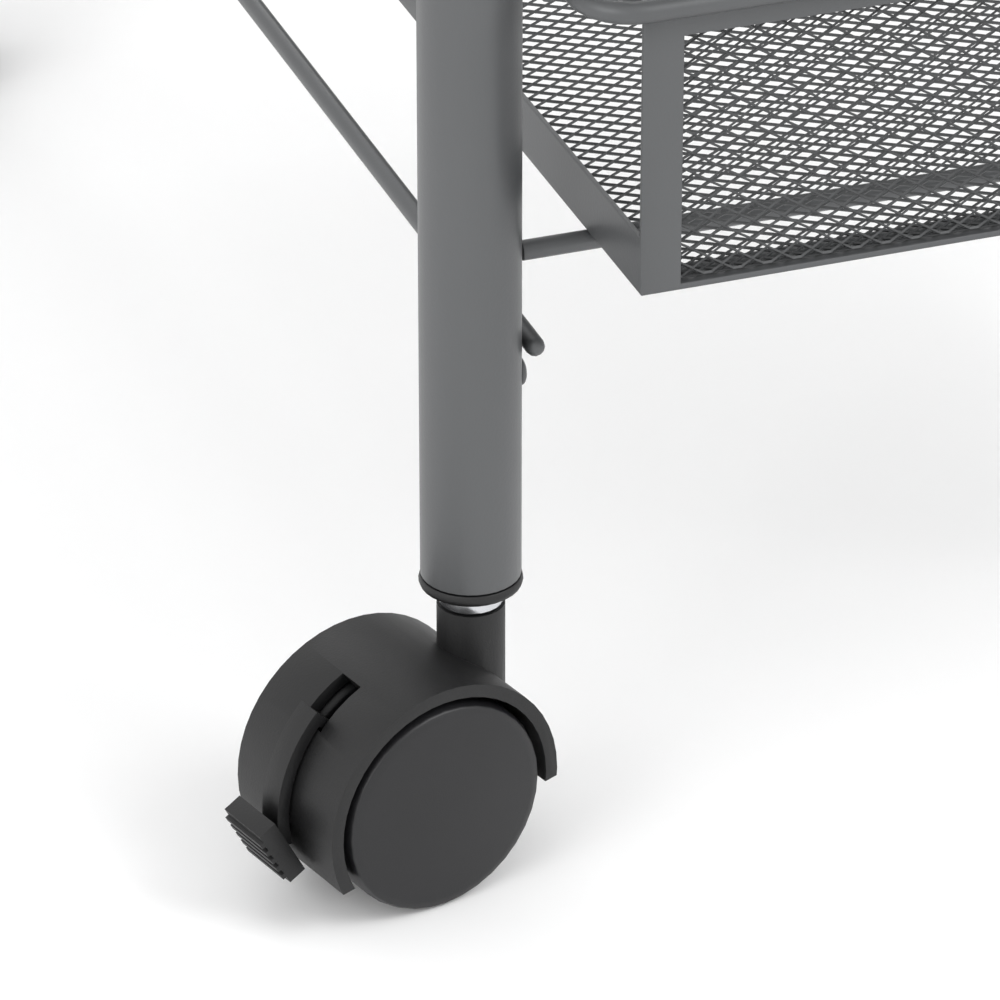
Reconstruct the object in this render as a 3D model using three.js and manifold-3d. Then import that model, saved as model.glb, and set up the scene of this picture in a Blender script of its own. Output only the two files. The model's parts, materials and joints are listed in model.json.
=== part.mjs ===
import * as THREE from 'three';
import * as BufferGeometryUtils from 'three/addons/utils/BufferGeometryUtils.js';
import Module from 'manifold-3d';

const wasm = await Module();
wasm.setup();

// Driving dimensions, in millimetres. +Z is up, and the baskets open towards -Y.
const gap = 0.3; // between pieces that touch on the real cart
const postSpacingX = 290;
const postSpacingY = 420;
const postRadius = 11;
const postWall = 1.2;
const postLength = 560;
const postSides = 32;
const capHeight = 4;
const plugFlange = 3.2;
const plugFlangeRadius = 11.4;
const plugDepth = 20;

const wireRadius = 2.2;
const wireSides = 12;
const crossRailHeight = 75.7; // above the foot of the post
const sideRailHeight = 69.5;
const pegHeight = 54;
const pegFront = 3;
const pegLength = 39;

const tierCount = 3;
const tierPitch = 185;
const floorClearance = 0.9;
const basketInset = 25.6; // post axis to basket side
const basketFront = 33.5; // post axis to basket front
const basketBack = 8;
const basketHeight = 67;
const stripWidth = 9;
const stripThickness = 1.2;
const sideFlange = 13;
const meshThickness = 0.8;
const rimRadius = 2.4;
const rimPostClearance = 1.2;
const rimCornerRadius = 11;
const rimDrop = 1;
const rimSides = 10;
const rimCornerSteps = 6;

const wheelRadius = 25;
const wheelInner = 3.6;
const wheelOuter = 19.4;
const wheelSides = 36;
const wheelEdge = 1.4;
const axleRadius = 2.3;
const axleDepth = 13; // of each wheel's blind bore
const stemSetback = 7; // swivel axis inside the wheel well's edge
const hoodClearance = 1.5;
const hoodWall = 3;
const hoodHalfWidth = 18.6;
const webHalfWidth = 3;
const hoodSkirtDrop = 7.5;
const hoodSkirtAngle = THREE.MathUtils.degToRad(10.6);
const neckRadius = 7.5;
const stemRadius = 4;
const stemAbove = 24;
const stemBelow = 15;
const collarRadius = 7.1;
const collarHeight = 3.6;
const hoodHeadroom = 14.5; // top of the hood to the foot of the post
const casterTurn = THREE.MathUtils.degToRad(15);

const leverClearance = 0.7;
const leverThickness = 3;
const leverHalfWidth = 3;
const leverTopAngle = THREE.MathUtils.degToRad(47);
const leverFootAngle = THREE.MathUtils.degToRad(-12);
const leverTab = { depth: 7.5, thickness: 2.2, halfWidth: 2.7 };
const pedal = { length: 16, thickness: 4.4, width: 14, stand: 5.1, drop: 5 };
const pedalTilt = THREE.MathUtils.degToRad(62);
const ridge = { count: 5, pitch: 2.7, height: 0.9, depth: 1.3 };
const slotAngle = THREE.MathUtils.degToRad(54);
const slot = { depth: 12, length: 13, width: 7 };

const wellRadius = wheelRadius + hoodClearance;
const hoodRadius = wellRadius + hoodWall;
const trail = wellRadius - stemSetback; // swivel axis to axle
const casterDrop = hoodRadius + hoodHeadroom; // foot of the post to the axle
const postFoot = wheelRadius + casterDrop;
const leverInner = hoodRadius + leverClearance;
const boreRadius = axleRadius + gap;
const neckTop = postFoot - plugFlange - gap - collarHeight - gap;
const through = 4; // how far a cutter runs past what it cuts

const steel = new THREE.MeshStandardMaterial({ color: 0x54575a, roughness: 0.5, metalness: 0.4 });
const plastic = new THREE.MeshStandardMaterial({ color: 0x17171a, roughness: 0.6, metalness: 0 });
const tread = new THREE.MeshStandardMaterial({ color: 0x222226, roughness: 0.45, metalness: 0 });
const chrome = new THREE.MeshStandardMaterial({ color: 0xd0d2d4, roughness: 0.15, metalness: 1 });

function toSolid(geometry) {
  const bare = geometry.index ? geometry.clone() : geometry;
  bare.deleteAttribute('normal');
  bare.deleteAttribute('uv');
  const merged = BufferGeometryUtils.mergeVertices(bare, 1e-4);
  const vertProperties = new Float32Array(merged.attributes.position.array);
  const triVerts = new Uint32Array(merged.index.array);
  return new wasm.Manifold(new wasm.Mesh({ numProp: 3, vertProperties, triVerts }));
}

function toGeometry(solid) {
  const mesh = solid.getMesh();
  const geometry = new THREE.BufferGeometry();
  geometry.setAttribute('position', new THREE.BufferAttribute(mesh.vertProperties, 3));
  geometry.setIndex(new THREE.BufferAttribute(mesh.triVerts, 1));
  geometry.computeVertexNormals();
  return geometry;
}

function cut(solid, ...geometries) {
  return geometries.reduce((rest, geometry) => rest.subtract(toSolid(geometry)), solid);
}

function join(...geometries) {
  return geometries.map(toSolid).reduce((whole, solid) => whole.add(solid));
}

function box(low, high) {
  const geometry = new THREE.BoxGeometry(high[0] - low[0], high[1] - low[1], high[2] - low[2]);
  return geometry.translate((low[0] + high[0]) / 2, (low[1] + high[1]) / 2, (low[2] + high[2]) / 2);
}

// A round bar between two heights, standing on the Z axis.
function standingBar(radius, low, high, sides) {
  const geometry = new THREE.CylinderGeometry(radius, radius, high - low, sides);
  return geometry.rotateX(Math.PI / 2).translate(0, 0, (low + high) / 2);
}

// A round bar along Y, between two values of Y.
function lyingBar(radius, from, to, sides) {
  const geometry = new THREE.CylinderGeometry(radius, radius, to - from, sides);
  return geometry.translate(0, (from + to) / 2, 0);
}

function turned(outline, sides) {
  const points = outline.map(([radius, height]) => new THREE.Vector2(radius, height));
  return new THREE.LatheGeometry(points, sides).rotateX(Math.PI / 2);
}

const cart = new THREE.Group();

function place(parent, name, geometry, material, x = 0, y = 0, z = 0) {
  const mesh = new THREE.Mesh(geometry, material);
  mesh.name = name;
  mesh.position.set(x, y, z);
  parent.add(mesh);
  return mesh;
}

// The four corners, each with the way its caster trails at rest.
const corners = [
  { name: 'front_left', x: -postSpacingX / 2, y: 0, turn: Math.PI + casterTurn, brake: true },
  { name: 'front_right', x: postSpacingX / 2, y: 0, turn: -casterTurn, brake: true },
  { name: 'rear_left', x: -postSpacingX / 2, y: postSpacingY, turn: Math.PI - casterTurn, brake: false },
  { name: 'rear_right', x: postSpacingX / 2, y: postSpacingY, turn: casterTurn, brake: false },
];

function postTube() {
  const inner = postRadius - postWall;
  const outline = [[inner, 0], [postRadius, 0], [postRadius, postLength], [inner, postLength], [inner, 0]];
  return turned(outline, postSides);
}

// The plastic foot plug: a rounded flange under the tube and a sleeve that grips the stem.
function footPlug() {
  const sleeve = postRadius - postWall - gap;
  const bore = stemRadius + gap;
  const outline = [
    [bore, -plugFlange],
    [plugFlangeRadius - 1.2, -plugFlange],
    [plugFlangeRadius - 0.3, -plugFlange + 0.7],
    [plugFlangeRadius, -plugFlange / 2],
    [plugFlangeRadius - 0.3, -gap],
    [sleeve, -gap],
    [sleeve, plugDepth],
    [bore, plugDepth],
    [bore, -plugFlange],
  ];
  return turned(outline, postSides);
}

function topCap() {
  const sleeve = postRadius - postWall - gap;
  const outline = [
    [0, -plugDepth],
    [sleeve, -plugDepth],
    [sleeve, gap],
    [postRadius, gap],
    [postRadius, capHeight / 2],
    [postRadius * 0.85, capHeight * 0.85],
    [postRadius * 0.5, capHeight],
    [0, capHeight],
  ];
  return turned(outline, postSides);
}

function stem() {
  const collarTop = postFoot - plugFlange - gap;
  const outline = [
    [0, neckTop - stemBelow],
    [stemRadius, neckTop - stemBelow],
    [stemRadius, collarTop - collarHeight],
    [collarRadius, collarTop - collarHeight],
    [collarRadius, collarTop],
    [stemRadius, collarTop],
    [stemRadius, postFoot + stemAbove],
    [0, postFoot + stemAbove],
  ];
  return turned(outline, 24);
}

for (const corner of corners) {
  place(cart, `post_${corner.name}`, postTube(), steel, corner.x, corner.y, postFoot);
  place(cart, `foot_plug_${corner.name}`, footPlug(), plastic, corner.x, corner.y, postFoot);
  place(cart, `top_cap_${corner.name}`, topCap(), plastic, corner.x, corner.y, postFoot + postLength);
  place(cart, `stem_${corner.name}`, stem(), chrome, corner.x, corner.y);
}

// Wires welded between the posts.
const railEnd = postRadius + gap;
const runnerX = postSpacingX / 2 - postRadius - gap - wireRadius;
const rimHalfX = postSpacingX / 2 - postRadius - rimPostClearance - rimRadius;

function tierFloor(tier) {
  return postFoot + crossRailHeight + wireRadius + floorClearance + tier * tierPitch;
}

function rimHeight(tier) {
  return tierFloor(tier) + basketHeight - rimDrop;
}

function alongX(from, to) {
  return lyingBar(wireRadius, from, to, wireSides).rotateZ(-Math.PI / 2);
}

for (let tier = 0; tier < tierCount; tier++) {
  const railZ = postFoot + crossRailHeight + tier * tierPitch;
  const reach = postSpacingX / 2 - railEnd;
  place(cart, `cross_rail_front_${tier + 1}`, alongX(-reach, reach), steel, 0, 0, railZ);
  place(cart, `cross_rail_rear_${tier + 1}`, alongX(-reach, reach), steel, 0, postSpacingY, railZ);
  const runnerZ = rimHeight(tier) - rimRadius - gap - wireRadius;
  for (const [side, sign] of [['left', -1], ['right', 1]]) {
    const runner = lyingBar(wireRadius, -postRadius, postSpacingY + postRadius, wireSides);
    place(cart, `runner_${side}_${tier + 1}`, runner, steel, sign * runnerX, 0, runnerZ);
  }
}

// A short peg with a domed nose, welded to the inner side of each front post.
function peg() {
  const nose = 4;
  const outline = [[0, pegLength], [wireRadius, pegLength]];
  for (let step = 0; step < nose; step++) {
    const angle = (step / nose) * (Math.PI / 2);
    outline.push([wireRadius * Math.cos(angle), -wireRadius * Math.sin(angle)]);
  }
  outline.push([0, -wireRadius]);
  const points = outline.reverse().map(([radius, along]) => new THREE.Vector2(radius, along));
  return new THREE.LatheGeometry(points, wireSides);
}

for (const [side, sign] of [['left', -1], ['right', 1]]) {
  const rail = lyingBar(wireRadius, railEnd, postSpacingY - railEnd, wireSides);
  place(cart, `side_rail_${side}`, rail, steel, (sign * postSpacingX) / 2, 0, postFoot + sideRailHeight);
  place(cart, `peg_${side}`, peg(), steel, sign * runnerX, -pegFront, postFoot + pegHeight);
}

// A wire bent into a closed, flat loop with round corners.
function wireLoop(halfX, front, back) {
  const centres = [
    { x: halfX - rimCornerRadius, y: front + rimCornerRadius, from: -Math.PI / 2 },
    { x: halfX - rimCornerRadius, y: back - rimCornerRadius, from: 0 },
    { x: -halfX + rimCornerRadius, y: back - rimCornerRadius, from: Math.PI / 2 },
    { x: -halfX + rimCornerRadius, y: front + rimCornerRadius, from: Math.PI },
  ];
  const positions = [];
  const rings = centres.length * (rimCornerSteps + 1);
  for (const centre of centres) {
    for (let step = 0; step <= rimCornerSteps; step++) {
      const bend = centre.from + (step / rimCornerSteps) * (Math.PI / 2);
      for (let side = 0; side < rimSides; side++) {
        const round = (side / rimSides) * 2 * Math.PI;
        const reach = rimCornerRadius + rimRadius * Math.cos(round);
        const x = centre.x + reach * Math.cos(bend);
        const y = centre.y + reach * Math.sin(bend);
        positions.push(x, y, rimRadius * Math.sin(round));
      }
    }
  }
  const index = [];
  for (let ring = 0; ring < rings; ring++) {
    const next = (ring + 1) % rings;
    for (let side = 0; side < rimSides; side++) {
      const across = (side + 1) % rimSides;
      const a = ring * rimSides + side;
      const b = next * rimSides + side;
      const c = next * rimSides + across;
      const d = ring * rimSides + across;
      index.push(a, b, c, a, c, d);
    }
  }
  const geometry = new THREE.BufferGeometry();
  geometry.setAttribute('position', new THREE.Float32BufferAttribute(positions, 3));
  geometry.setIndex(index);
  geometry.computeVertexNormals();
  return geometry;
}

// The basket's strips: a box shell with windows in the ends and the floor, and low flanges for sides.
function basketFrame(halfX, front, back) {
  const shell = toSolid(box([-halfX, front, 0], [halfX, back, basketHeight]));
  const t = stripThickness;
  const s = stripWidth;
  const inside = box([-halfX + t, front + t, t], [halfX - t, back - t, basketHeight + through]);
  const overFlange = [halfX + through, back - t, basketHeight + through];
  const sideWindow = box([-halfX - through, front + t, sideFlange], overFlange);
  const endWindow = box([-halfX + s, front - through, t], [halfX - s, back + through, basketHeight - s]);
  const floorWindow = box([-halfX + s, front + s, -through], [halfX - s, back - s, through]);
  return toGeometry(cut(shell, inside, sideWindow, endWindow, floorWindow));
}

// The expanded-metal liner: one thin sheet bent up at the front and the back, with open sides.
function basketLiner(halfX, front, back) {
  const inset = stripThickness + gap;
  const wall = inset + meshThickness;
  const low = [-halfX + inset, front + inset, inset];
  const shell = toSolid(box(low, [halfX - inset, back - inset, basketHeight]));
  const inside = box([-halfX, front + wall, wall], [halfX, back - wall, basketHeight + through]);
  return toGeometry(cut(shell, inside));
}

const basketHalfX = postSpacingX / 2 - basketInset;
const basketFrontY = -basketFront;
const basketBackY = postSpacingY + basketBack;
const rimReach = rimRadius + gap;

for (let tier = 0; tier < tierCount; tier++) {
  const floorZ = tierFloor(tier);
  const number = tier + 1;
  const frame = basketFrame(basketHalfX, basketFrontY, basketBackY);
  const liner = basketLiner(basketHalfX, basketFrontY, basketBackY);
  const rim = wireLoop(rimHalfX, basketFrontY - rimReach, basketBackY + rimReach);
  place(cart, `basket_frame_${number}`, frame, steel, 0, 0, floorZ);
  place(cart, `basket_mesh_${number}`, liner, steel, 0, 0, floorZ);
  place(cart, `basket_rim_${number}`, rim, steel, 0, 0, rimHeight(tier));
}

// Casters. In a caster's own frame the swivel axis is Z, the axle lies along Y at x = trail.
function atAxle(geometry) {
  return geometry.translate(trail, 0, wheelRadius);
}

function slotCutter() {
  const cutter = new THREE.BoxGeometry(slot.depth, slot.width, slot.length);
  cutter.translate(hoodRadius - slot.depth / 2 + 1, 0, 0);
  return atAxle(cutter.rotateY(-slotAngle));
}

function hood(withSlot) {
  const drum = atAxle(lyingBar(hoodRadius, -hoodHalfWidth, hoodHalfWidth, 48));
  const neck = standingBar(neckRadius, wheelRadius, neckTop, 24);
  const farWell = atAxle(lyingBar(wellRadius, -hoodHalfWidth - through, -webHalfWidth, 48));
  const nearWell = atAxle(lyingBar(wellRadius, webHalfWidth, hoodHalfWidth + through, 48));
  const below = box([-60, -40, -60], [60, 40, 0]).rotateY(hoodSkirtAngle);
  const skirtCut = below.translate(trail, 0, wheelRadius - hoodSkirtDrop);
  const axleBore = atAxle(lyingBar(boreRadius, -webHalfWidth - through, webHalfWidth + through, 20));
  const stemBore = standingBar(stemRadius + gap, neckTop - stemBelow - gap, neckTop + through, 24);
  const solid = cut(join(drum, neck), farWell, nearWell, skirtCut, axleBore, stemBore);
  return toGeometry(withSlot ? cut(solid, slotCutter()) : solid);
}

// A wheel with a closed outer face and a blind bore from its inner side.
function wheel(sign) {
  const outline = [
    [0, wheelInner + axleDepth],
    [boreRadius, wheelInner + axleDepth],
    [boreRadius, wheelInner],
    [wheelRadius - wheelEdge, wheelInner],
    [wheelRadius, wheelInner + wheelEdge],
    [wheelRadius, wheelOuter - 2 * wheelEdge],
    [wheelRadius - wheelEdge / 2, wheelOuter - wheelEdge / 2],
    [wheelRadius - 2 * wheelEdge, wheelOuter],
    [0, wheelOuter],
  ];
  const points = outline.map(([radius, along]) => new THREE.Vector2(radius, along));
  const geometry = new THREE.LatheGeometry(points, wheelSides);
  return atAxle(sign < 0 ? geometry.rotateX(Math.PI) : geometry);
}

function polar(radius, angle) {
  return [radius * Math.cos(angle), radius * Math.sin(angle)];
}

function extrudedAcross(shape, halfWidth) {
  const settings = { depth: 2 * halfWidth, bevelEnabled: false, curveSegments: 14 };
  const geometry = new THREE.ExtrudeGeometry(shape, settings);
  return geometry.translate(0, 0, -halfWidth).rotateX(Math.PI / 2);
}

// The foot pedal stands steeply outside the hood, with ridges across its outer face.
function pedalPieces() {
  const pieces = [new THREE.BoxGeometry(pedal.length, pedal.width, pedal.thickness)];
  for (let number = 0; number < ridge.count; number++) {
    const bar = new THREE.BoxGeometry(ridge.depth, pedal.width, 2 * ridge.height);
    const along = (number - (ridge.count - 1) / 2) * ridge.pitch;
    pieces.push(bar.translate(along, 0, -pedal.thickness / 2));
  }
  return pieces.map((piece) => piece.rotateY(-pedalTilt).translate(hoodRadius + pedal.stand, 0, -pedal.drop));
}

// The brake lever: an arm curved round the hood, a tab through its slot and a foot pedal.
function brakeLever() {
  const outer = leverInner + leverThickness;
  const arc = new THREE.Shape();
  arc.moveTo(...polar(leverInner, leverFootAngle));
  arc.lineTo(...polar(outer, leverFootAngle));
  arc.absarc(0, 0, outer, leverFootAngle, leverTopAngle, false);
  arc.lineTo(...polar(leverInner, leverTopAngle));
  arc.absarc(0, 0, leverInner, leverTopAngle, leverFootAngle, true);
  const arm = extrudedAcross(arc, leverHalfWidth);
  const tabAngle = leverTopAngle - leverTab.thickness / 2 / leverInner;
  const tab = new THREE.BoxGeometry(leverTab.depth, 2 * leverTab.halfWidth, leverTab.thickness);
  tab.translate(leverInner + leverThickness / 2 - leverTab.depth / 2, 0, 0).rotateY(-tabAngle);
  return atAxle(toGeometry(join(arm, tab, ...pedalPieces())));
}

for (const corner of corners) {
  const caster = new THREE.Group();
  caster.position.set(corner.x, corner.y, 0);
  caster.rotation.z = corner.turn;
  cart.add(caster);
  const axleHalf = wheelInner + axleDepth - gap;
  place(caster, `hood_${corner.name}`, hood(corner.brake), plastic);
  place(caster, `wheel_near_${corner.name}`, wheel(1), tread);
  place(caster, `wheel_far_${corner.name}`, wheel(-1), tread);
  place(caster, `axle_${corner.name}`, atAxle(lyingBar(axleRadius, -axleHalf, axleHalf, 20)), chrome);
  if (corner.brake) {
    place(caster, `brake_lever_${corner.name}`, brakeLever(), plastic);
  }
}

// The origin is on the floor, under the middle of the whole cart.
cart.updateMatrixWorld(true);
const bounds = new THREE.Box3().setFromObject(cart, true);
const middle = bounds.getCenter(new THREE.Vector3());
cart.position.set(-middle.x, -middle.y, -bounds.min.z);

const group = new THREE.Group();
group.add(cart);
export default group;
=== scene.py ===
import json
import math
import bpy
from mathutils import Matrix, Vector


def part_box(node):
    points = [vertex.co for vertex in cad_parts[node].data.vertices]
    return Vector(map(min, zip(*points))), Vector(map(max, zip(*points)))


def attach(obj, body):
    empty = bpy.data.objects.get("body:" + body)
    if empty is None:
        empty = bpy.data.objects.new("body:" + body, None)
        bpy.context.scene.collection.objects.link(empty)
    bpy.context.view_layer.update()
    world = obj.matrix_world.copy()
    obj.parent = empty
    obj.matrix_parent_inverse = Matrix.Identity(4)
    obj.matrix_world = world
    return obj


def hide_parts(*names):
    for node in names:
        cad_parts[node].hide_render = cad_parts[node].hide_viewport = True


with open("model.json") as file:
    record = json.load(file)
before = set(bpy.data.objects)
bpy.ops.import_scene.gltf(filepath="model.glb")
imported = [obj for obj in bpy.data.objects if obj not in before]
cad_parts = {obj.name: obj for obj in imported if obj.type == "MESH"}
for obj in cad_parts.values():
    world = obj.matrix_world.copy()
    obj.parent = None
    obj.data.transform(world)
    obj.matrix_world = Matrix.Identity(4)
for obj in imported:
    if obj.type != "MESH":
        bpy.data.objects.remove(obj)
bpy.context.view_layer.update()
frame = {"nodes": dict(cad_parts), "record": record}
record = frame["record"]
slotOfNode = {part["node"]: part["material_slot"] for part in record["subparts"]}
bodyOfNode = {node: body for body, nodes in record["behaviour"]["bodies"].items() for node in nodes}
print("frame loaded")


def deselectAll():
    if bpy.context.object and bpy.context.object.mode != "OBJECT":
        bpy.ops.object.mode_set(mode="OBJECT")
    bpy.ops.object.select_all(action="DESELECT")


def makeActive(piece):
    deselectAll()
    piece.select_set(True)
    bpy.context.view_layer.objects.active = piece


def applyModifiers(piece):
    makeActive(piece)
    for modifier in list(piece.modifiers):
        bpy.ops.object.modifier_apply(modifier=modifier.name)


# Materials. Noise scales count features per metre of the piece's own space.
surface = {"coatRoughness": 0.3, "driftDetail": 4, "grainDetail": 3, "grainDepth": 0.0001,
           "toneStart": 0.3, "toneEnd": 0.7, "glossier": 0.05, "duller": 0.07}


def makeMaterial(name, look):
    material = bpy.data.materials.new(name)
    material.use_nodes = True
    nodes, links = material.node_tree.nodes, material.node_tree.links
    shader = nodes["Principled BSDF"]
    shader.inputs["Metallic"].default_value = look["metallic"]
    shader.inputs["Coat Weight"].default_value = look.get("coat", 0.0)
    shader.inputs["Coat Roughness"].default_value = surface["coatRoughness"]
    place = nodes.new("ShaderNodeTexCoord")
    # slow drift of the colour, as in a sprayed or moulded surface
    drift = nodes.new("ShaderNodeTexNoise")
    drift.inputs["Scale"].default_value = look["driftScale"]
    drift.inputs["Detail"].default_value = surface["driftDetail"]
    links.new(place.outputs["Object"], drift.inputs["Vector"])
    tone = nodes.new("ShaderNodeValToRGB")
    tone.color_ramp.elements[0].position = surface["toneStart"]
    tone.color_ramp.elements[1].position = surface["toneEnd"]
    tone.color_ramp.elements[0].color = (*[c * (1 - look["drift"]) for c in look["color"]], 1)
    tone.color_ramp.elements[1].color = (*[c * (1 + look["drift"]) for c in look["color"]], 1)
    links.new(drift.outputs["Fac"], tone.inputs["Fac"])
    links.new(tone.outputs["Color"], shader.inputs["Base Color"])
    # roughness varies with the same drift
    gloss = nodes.new("ShaderNodeMapRange")
    gloss.inputs["To Min"].default_value = look["roughness"] - surface["glossier"]
    gloss.inputs["To Max"].default_value = look["roughness"] + surface["duller"]
    links.new(drift.outputs["Fac"], gloss.inputs["Value"])
    links.new(gloss.outputs["Result"], shader.inputs["Roughness"])
    # fine grain: orange peel on powder coat, spark texture on plastic
    grain = nodes.new("ShaderNodeTexNoise")
    grain.inputs["Scale"].default_value = look["grainScale"]
    grain.inputs["Detail"].default_value = surface["grainDetail"]
    links.new(place.outputs["Object"], grain.inputs["Vector"])
    bump = nodes.new("ShaderNodeBump")
    bump.inputs["Strength"].default_value = look["grain"]
    bump.inputs["Distance"].default_value = surface["grainDepth"]
    links.new(grain.outputs["Fac"], bump.inputs["Height"])
    links.new(bump.outputs["Normal"], shader.inputs["Normal"])
    return material


looks = {
    "frame_steel": dict(color=(0.096, 0.099, 0.102), metallic=0.35, roughness=0.42, drift=0.05,
                        driftScale=9, grain=0.35, grainScale=1300, coat=0.12),
    "basket_steel": dict(color=(0.092, 0.095, 0.098), metallic=0.35, roughness=0.45, drift=0.06,
                         driftScale=12, grain=0.35, grainScale=1300, coat=0.1),
    "basket_mesh": dict(color=(0.072, 0.074, 0.076), metallic=0.35, roughness=0.5, drift=0.1,
                        driftScale=25, grain=0.3, grainScale=1500),
    "plated_steel": dict(color=(0.62, 0.63, 0.65), metallic=1.0, roughness=0.2, drift=0.08,
                         driftScale=120, grain=0.15, grainScale=900),
    "wheel_plastic": dict(color=(0.0068, 0.0068, 0.008), metallic=0.0, roughness=0.42, drift=0.12,
                          driftScale=60, grain=0.25, grainScale=2600),
    "black_plastic": dict(color=(0.0042, 0.0042, 0.0046), metallic=0.0, roughness=0.5, drift=0.15,
                          driftScale=50, grain=0.45, grainScale=2200),
}
materials = {name: makeMaterial(name, look) for name, look in looks.items()}
for node, cadPiece in frame["nodes"].items():
    cadPiece.data.materials.clear()
    cadPiece.data.materials.append(materials[slotOfNode[node]])
print("materials made")


def finishPiece(piece, node, replaces=True):
    piece.data.materials.clear()
    piece.data.materials.append(materials[slotOfNode[node]])
    if replaces:
        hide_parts(node)
    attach(piece, bodyOfNode[node])
    return piece


smoothDegrees = 40  # facets that meet at less than this look like one curved surface


def smoothByAngle(piece):
    makeActive(piece)
    bpy.ops.object.shade_smooth_by_angle(angle=math.radians(smoothDegrees))


# Turned, drawn and moulded pieces: the CAD shape with its sharp edges rounded and its facets smoothed.
# Edge radii are in metres, by how a node's name starts.
edgeRadius = {"hood": 0.0014, "wheel": 0.0004, "brake": 0.0007, "post": 0.00025, "foot_plug": 0.0002,
              "stem": 0.0004, "other": 0.0003}
rounding = {"merge": 0.00001, "flatDegrees": 0.5, "sharpDegrees": 38, "segments": 3}


def refined(node, edge):
    source = frame["nodes"][node]
    piece = bpy.data.objects.new(node + "_finished", source.data.copy())
    bpy.context.collection.objects.link(piece)
    makeActive(piece)
    bpy.ops.object.mode_set(mode="EDIT")
    bpy.ops.mesh.select_all(action="SELECT")
    bpy.ops.mesh.remove_doubles(threshold=rounding["merge"])
    bpy.ops.mesh.dissolve_limited(angle_limit=math.radians(rounding["flatDegrees"]))
    bpy.ops.object.mode_set(mode="OBJECT")
    bevel = piece.modifiers.new("edge", "BEVEL")
    bevel.width = edge
    bevel.segments = rounding["segments"]
    bevel.limit_method = "ANGLE"
    bevel.angle_limit = math.radians(rounding["sharpDegrees"])
    bevel.use_clamp_overlap = True
    applyModifiers(piece)
    smoothByAngle(piece)
    return finishPiece(piece, node)


for node in frame["nodes"]:
    if node.startswith("basket_mesh"):
        continue
    edge = next((width for start, width in edgeRadius.items() if node.startswith(start)),
                edgeRadius["other"])
    refined(node, edge)
print("frame and caster pieces finished")


# Expanded metal. One flat sheet of diamonds is cut to size, then its edges become strands.
lattice = {"long": 0.0067, "short": 0.0044, "strand": 0.0008, "spareCells": 4}


def meshSheet(name, width, height):
    cells = math.ceil(width / lattice["long"] + height / lattice["short"]) + lattice["spareCells"]
    deselectAll()
    bpy.ops.mesh.primitive_grid_add(x_subdivisions=cells, y_subdivisions=cells, size=cells)
    sheet = bpy.context.object
    sheet.name = name
    sheet.data.transform(Matrix.Rotation(math.radians(45), 4, "Z"))
    stretch = (lattice["long"] / math.sqrt(2), lattice["short"] / math.sqrt(2), 1)
    sheet.data.transform(Matrix.Diagonal((*stretch, 1)))
    bpy.ops.object.mode_set(mode="EDIT")
    for normal in ((1, 0, 0), (-1, 0, 0), (0, 1, 0), (0, -1, 0)):
        bpy.ops.mesh.select_all(action="SELECT")
        reach = width / 2 if normal[0] else height / 2
        bpy.ops.mesh.bisect(plane_co=Vector(normal) * reach, plane_no=normal, clear_outer=True)
    bpy.ops.object.mode_set(mode="OBJECT")
    return sheet


def placedCopy(sheet, name, place):
    piece = bpy.data.objects.new(name, sheet.data.copy())
    bpy.context.collection.objects.link(piece)
    piece.data.transform(place)
    return piece


def joined(pieces, name):
    deselectAll()
    for piece in pieces:
        piece.select_set(True)
    bpy.context.view_layer.objects.active = pieces[0]
    bpy.ops.object.join()
    pieces[0].name = name
    return pieces[0]


def strands(piece):
    wire = piece.modifiers.new("strand", "WIREFRAME")
    wire.thickness = lattice["strand"]
    wire.use_even_offset = False
    wire.use_replace = True
    applyModifiers(piece)
    makeActive(piece)
    bpy.ops.object.shade_flat()


low, high = (Vector(corner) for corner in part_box("basket_mesh_1"))
inset = lattice["strand"] / 2
size = high - low
middle = (low + high) / 2
floorSheet = meshSheet("floor_sheet", size.x - 2 * inset, size.y - 2 * inset)
endSheet = meshSheet("end_sheet", size.x - 2 * inset, size.z - 2 * inset)
upright = Matrix.Rotation(math.radians(90), 4, "X")
floorPlace = Matrix.Translation((middle.x, middle.y, low.z + inset))
walls = [
    placedCopy(endSheet, "front", Matrix.Translation((middle.x, low.y + inset, middle.z)) @ upright),
    placedCopy(endSheet, "back", Matrix.Translation((middle.x, high.y - inset, middle.z)) @ upright),
]
floorMesh = placedCopy(floorSheet, "basket_floor_mesh_1", floorPlace)
wallMesh = joined(walls, "basket_wall_mesh_1")
for sheet in (floorSheet, endSheet):
    bpy.data.objects.remove(sheet)
strands(floorMesh)
strands(wallMesh)
tiers = (1, 2, 3)
for tier in tiers:
    node = f"basket_mesh_{tier}"
    lift = Matrix.Translation((0, 0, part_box(node)[0][2] - low.z))
    for first, kind in ((floorMesh, "floor"), (wallMesh, "wall")):
        piece = first if tier == 1 else placedCopy(first, f"basket_{kind}_mesh_{tier}", lift)
        finishPiece(piece, node)
print("basket mesh made", len(floorMesh.data.polygons), len(wallMesh.data.polygons))


# A domed screw head on the inner side of each front post, under the peg.
screw = {"radius": 0.0033, "stand": 0.0014, "drop": 0.0068, "segments": 24, "rings": 12}


def postScrew(side, sign):
    lowPost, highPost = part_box(f"post_front_{side}")
    lowPeg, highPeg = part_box(f"peg_{side}")
    innerSide = highPost[0] if sign > 0 else lowPost[0]
    spot = Vector((innerSide, (lowPost[1] + highPost[1]) / 2, (lowPeg[2] + highPeg[2]) / 2 - screw["drop"]))
    deselectAll()
    bpy.ops.mesh.primitive_uv_sphere_add(radius=screw["radius"], segments=screw["segments"],
                                         ring_count=screw["rings"])
    head = bpy.context.object
    head.name = f"post_screw_{side}"
    head.data.transform(Matrix.Diagonal((screw["stand"] / screw["radius"], 1, 1, 1)))
    head.data.transform(Matrix.Translation(spot))
    smoothByAngle(head)
    return finishPiece(head, f"post_front_{side}", replaces=False)


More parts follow.
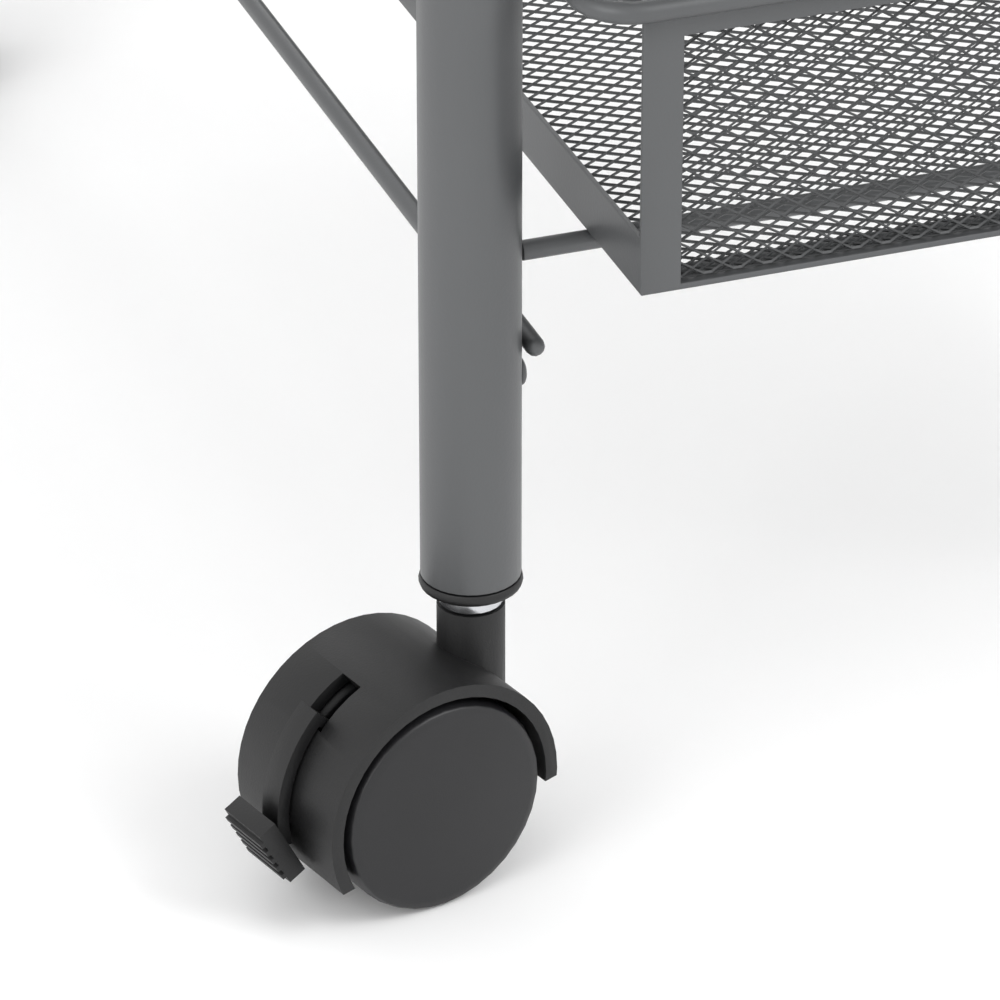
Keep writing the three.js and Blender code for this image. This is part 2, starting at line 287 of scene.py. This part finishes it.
postScrew("left", 1)
postScrew("right", -1)
print("screws made")

# Floor, light and camera
studio = {"floorSize": 12, "floorColor": (0.92, 0.92, 0.92, 1), "floorRoughness": 0.9, "skyStrength": 1.0}
deselectAll()
bpy.ops.mesh.primitive_plane_add(size=studio["floorSize"])
floor = bpy.context.object
floor.name = "studio_floor"
floorPaint = bpy.data.materials.new("floor_paint")
floorPaint.use_nodes = True
floorShader = floorPaint.node_tree.nodes["Principled BSDF"]
floorShader.inputs["Base Color"].default_value = studio["floorColor"]
floorShader.inputs["Roughness"].default_value = studio["floorRoughness"]
floor.data.materials.append(floorPaint)

world = bpy.data.worlds.new("studio")
bpy.context.scene.world = world
world.use_nodes = True
world.node_tree.nodes["Background"].inputs["Color"].default_value = (1, 1, 1, 1)
world.node_tree.nodes["Background"].inputs["Strength"].default_value = studio["skyStrength"]


def areaLight(name, spot, target, power, size):
    data = bpy.data.lights.new(name, "AREA")
    data.energy = power
    data.size = size
    light = bpy.data.objects.new(name, data)
    bpy.context.collection.objects.link(light)
    light.location = spot
    light.rotation_euler = (Vector(target) - Vector(spot)).to_track_quat("-Z", "Y").to_euler()


lights = {
    "key": dict(spot=(1.6, -1.8, 2.2), target=(0, 0, 0.2), power=38, size=1.4),
    "fill": dict(spot=(-2.2, -1.2, 1.5), target=(0, 0, 0.2), power=22, size=1.6),
    "back": dict(spot=(0.4, 2.2, 2.0), target=(0, 0, 0.3), power=20, size=1.6),
}
for lightName, light in lights.items():
    areaLight(lightName, **light)

# The camera stands at an offset from the foot of the front left post.
cameraSet = {"offset": (-0.40616, -1.14493, 0.70063), "azimuth": -19.83, "elevation": 29.35,
             "lens": 233.5, "sensorWidth": 36, "clipStart": 0.01}
lowPost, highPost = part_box("post_front_left")
postFoot = Vector(((lowPost[0] + highPost[0]) / 2, (lowPost[1] + highPost[1]) / 2, lowPost[2]))
cameraData = bpy.data.cameras.new("camera")
cameraData.lens = cameraSet["lens"]
cameraData.sensor_width = cameraSet["sensorWidth"]
cameraData.clip_start = cameraSet["clipStart"]
camera = bpy.data.objects.new("camera", cameraData)
bpy.context.collection.objects.link(camera)
camera.location = postFoot + Vector(cameraSet["offset"])
camera.rotation_euler = (math.radians(90 - cameraSet["elevation"]), 0, math.radians(cameraSet["azimuth"]))
bpy.context.scene.camera = camera
bpy.context.scene.view_settings.view_transform = "Standard"
print("stage set")
